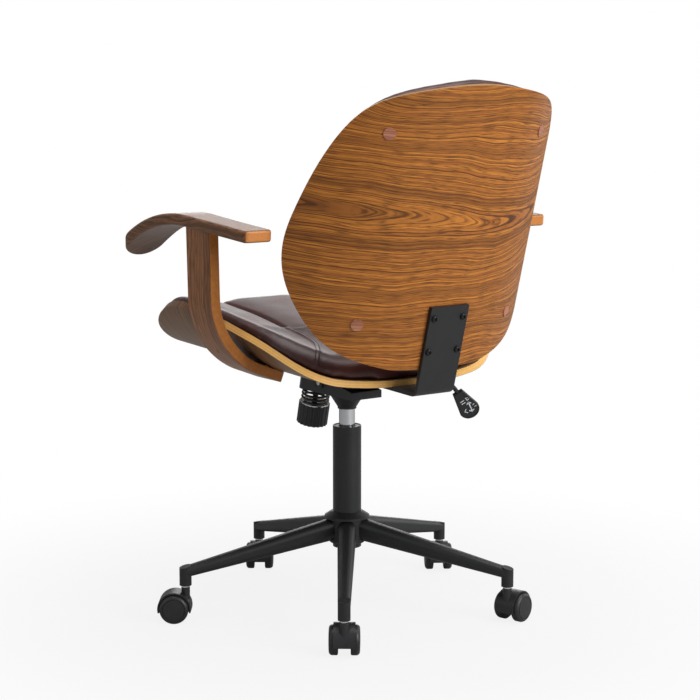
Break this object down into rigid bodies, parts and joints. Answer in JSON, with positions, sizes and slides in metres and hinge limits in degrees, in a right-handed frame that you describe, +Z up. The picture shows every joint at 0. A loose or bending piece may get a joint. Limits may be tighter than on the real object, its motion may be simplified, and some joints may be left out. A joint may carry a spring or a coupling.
{
  "type": "swivel desk chair",
  "caption": "Swivel desk chair with a bent-ply seat and back, leather pads, bent-ply arms, tilt plate with tension knob, gas lift and castors",
  "frame": {"origin": "on the floor, on the axis of the column", "axes": "+Z up, the sitter faces -Y, the sitter's left is +X"},
  "size_m": [0.6479, 0.7175, 0.9314],
  "materials": {
    "black_steel": "satin black powder coat",
    "bright_steel": "bright drawn",
    "black_bolt": "black oxide",
    "black_plastic": "moulded, satin",
    "walnut_ply": "walnut veneer, satin lacquer",
    "leather": "dark brown, soft gloss"
  },
  "bodies": {
    "base": {"hub": "black_steel", "leg_1": "black_steel", "leg_2": "black_steel", "leg_3": "black_steel", "leg_4": "black_steel", "leg_5": "black_steel", "castor_stems": "bright_steel", "outer_tube": "black_steel", "guide_bush": "black_plastic", "thrust_bearing": "bright_steel"},
    "spindle": {"piston_rod": "bright_steel"},
    "lift": {"lift_cylinder": "bright_steel", "tilt_housing": "black_steel", "pivot_pin": "bright_steel", "lever_pin": "bright_steel", "tension_spring": "black_bolt"},
    "seat": {"seat_plate": "black_steel", "tension_stud": "bright_steel", "seat_shell": "walnut_ply", "seat_pad": "leather", "seat_bolts": "bright_steel", "threaded_inserts": "bright_steel", "seat_spacers": "bright_steel", "back_bracket": "black_steel", "bracket_bolts": "bright_steel", "bracket_screws": "black_bolt", "back_shell": "walnut_ply", "back_pad": "leather", "back_plugs": "walnut_ply", "arm_strip_l": "walnut_ply", "arm_strip_r": "walnut_ply", "arm_board_l": "walnut_ply", "arm_board_r": "walnut_ply", "arm_bolts": "black_bolt", "board_dowels": "walnut_ply"},
    "tension": {"tension_washer": "bright_steel"},
    "knob": {"tension_knob": "black_plastic"},
    "lever": {"lever_rod": "black_steel", "lever_paddle": "black_plastic"},
    "valve": {"valve_pin": "bright_steel"},
    "castor_1": {"castor_hood_1": "black_plastic", "castor_axle_1": "bright_steel"},
    "wheel_1a": {"wheel_1a": "black_plastic"},
    "wheel_1b": {"wheel_1b": "black_plastic"},
    "castor_2": {"castor_hood_2": "black_plastic", "castor_axle_2": "bright_steel"},
    "wheel_2a": {"wheel_2a": "black_plastic"},
    "wheel_2b": {"wheel_2b": "black_plastic"},
    "castor_3": {"castor_hood_3": "black_plastic", "castor_axle_3": "bright_steel"},
    "wheel_3a": {"wheel_3a": "black_plastic"},
    "wheel_3b": {"wheel_3b": "black_plastic"},
    "castor_4": {"castor_hood_4": "black_plastic", "castor_axle_4": "bright_steel"},
    "wheel_4a": {"wheel_4a": "black_plastic"},
    "wheel_4b": {"wheel_4b": "black_plastic"},
    "castor_5": {"castor_hood_5": "black_plastic", "castor_axle_5": "bright_steel"},
    "wheel_5a": {"wheel_5a": "black_plastic"},
    "wheel_5b": {"wheel_5b": "black_plastic"}
  },
  "joints": [
    {"name": "swivel", "type": "hinge", "parent": "base", "child": "spindle", "pos_m": [0, 0, 0.12], "axis": [0, 0, 1], "continuous": true},
    {"name": "lift", "type": "slide", "parent": "spindle", "child": "lift", "axis": [0, 0, 1], "range_m": [-0.022, 0.08]},
    {"name": "tilt", "type": "hinge", "parent": "lift", "child": "seat", "pos_m": [0, -0.035, 0.403], "axis": [-1, 0, 0], "range_deg": [0, 10], "stiffness_Nm_per_rad": 250, "springref_deg": -17.19, "deforming": ["tension_spring"]},
    {"name": "tension_slide", "type": "slide", "parent": "seat", "child": "tension", "axis": [0, 0.2334, 0.9724], "range_m": [0, 0.0035], "deforming": ["tension_spring"]},
    {"name": "tension_turn", "type": "hinge", "parent": "tension", "child": "knob", "pos_m": [0, -0.1, 0.355], "axis": [0, 0.2334, 0.9724], "range_deg": [0, 720]},
    {"name": "lever_lift", "type": "hinge", "parent": "lift", "child": "lever", "pos_m": [-0.039, 0.00758, 0.4064], "axis": [0, 1, 0], "range_deg": [0, 5], "stiffness_Nm_per_rad": 6, "springref_deg": -8.59},
    {"name": "valve_press", "type": "slide", "parent": "lift", "child": "valve", "axis": [0, 0, -1], "range_m": [0, 0.0038]},
    {"name": "castor_turn_1", "type": "hinge", "parent": "base", "child": "castor_1", "pos_m": [0.1741, 0.23442, 0.06], "axis": [0, 0, 1], "continuous": true},
    {"name": "roll_1a", "type": "hinge", "parent": "castor_1", "child": "wheel_1a", "pos_m": [0.16266, 0.21925, 0.025], "axis": [0.7986, -0.6018, 0], "continuous": true},
    {"name": "roll_1b", "type": "hinge", "parent": "castor_1", "child": "wheel_1b", "pos_m": [0.16266, 0.21925, 0.025], "axis": [0.7986, -0.6018, 0], "continuous": true},
    {"name": "castor_turn_2", "type": "hinge", "parent": "base", "child": "castor_2", "pos_m": [-0.16915, 0.23802, 0.06], "axis": [0, 0, 1], "continuous": true},
    {"name": "roll_2a", "type": "hinge", "parent": "castor_2", "child": "wheel_2a", "pos_m": [-0.18741, 0.23278, 0.025], "axis": [0.2756, -0.9613, 0], "continuous": true},
    {"name": "roll_2b", "type": "hinge", "parent": "castor_2", "child": "wheel_2b", "pos_m": [-0.18741, 0.23278, 0.025], "axis": [0.2756, -0.9613, 0], "continuous": true},
    {"name": "castor_turn_3", "type": "hinge", "parent": "base", "child": "castor_3", "pos_m": [-0.27864, -0.08732, 0.06], "axis": [0, 0, 1], "continuous": true},
    {"name": "roll_3a", "type": "hinge", "parent": "castor_3", "child": "wheel_3a", "pos_m": [-0.28899, -0.10325, 0.025], "axis": [0.8387, -0.5446, 0], "continuous": true},
    {"name": "roll_3b", "type": "hinge", "parent": "castor_3", "child": "wheel_3b", "pos_m": [-0.28899, -0.10325, 0.025], "axis": [0.8387, -0.5446, 0], "continuous": true},
    {"name": "castor_turn_4", "type": "hinge", "parent": "base", "child": "castor_4", "pos_m": [-0.00306, -0.29198, 0.06], "axis": [0, 0, 1], "continuous": true},
    {"name": "roll_4a", "type": "hinge", "parent": "castor_4", "child": "wheel_4a", "pos_m": [-0.01423, -0.30735, 0.025], "axis": [0.809, -0.5878, 0], "continuous": true},
    {"name": "roll_4b", "type": "hinge", "parent": "castor_4", "child": "wheel_4b", "pos_m": [-0.01423, -0.30735, 0.025], "axis": [0.809, -0.5878, 0], "continuous": true},
    {"name": "castor_turn_5", "type": "hinge", "parent": "base", "child": "castor_5", "pos_m": [0.27675, -0.09314, 0.06], "axis": [0, 0, 1], "continuous": true},
    {"name": "roll_5a", "type": "hinge", "parent": "castor_5", "child": "wheel_5a", "pos_m": [0.29212, -0.1043, 0.025], "axis": [0.5878, 0.809, 0], "continuous": true},
    {"name": "roll_5b", "type": "hinge", "parent": "castor_5", "child": "wheel_5b", "pos_m": [0.29212, -0.1043, 0.025], "axis": [0.5878, 0.809, 0], "continuous": true}
  ],
  "couplings": [
    {"joint": "tension_turn", "follows": "tension_slide", "rad_per_m": 3590.4},
    {"joint": "valve_press", "follows": "lever_lift", "m_per_rad": 0.042}
  ]
}
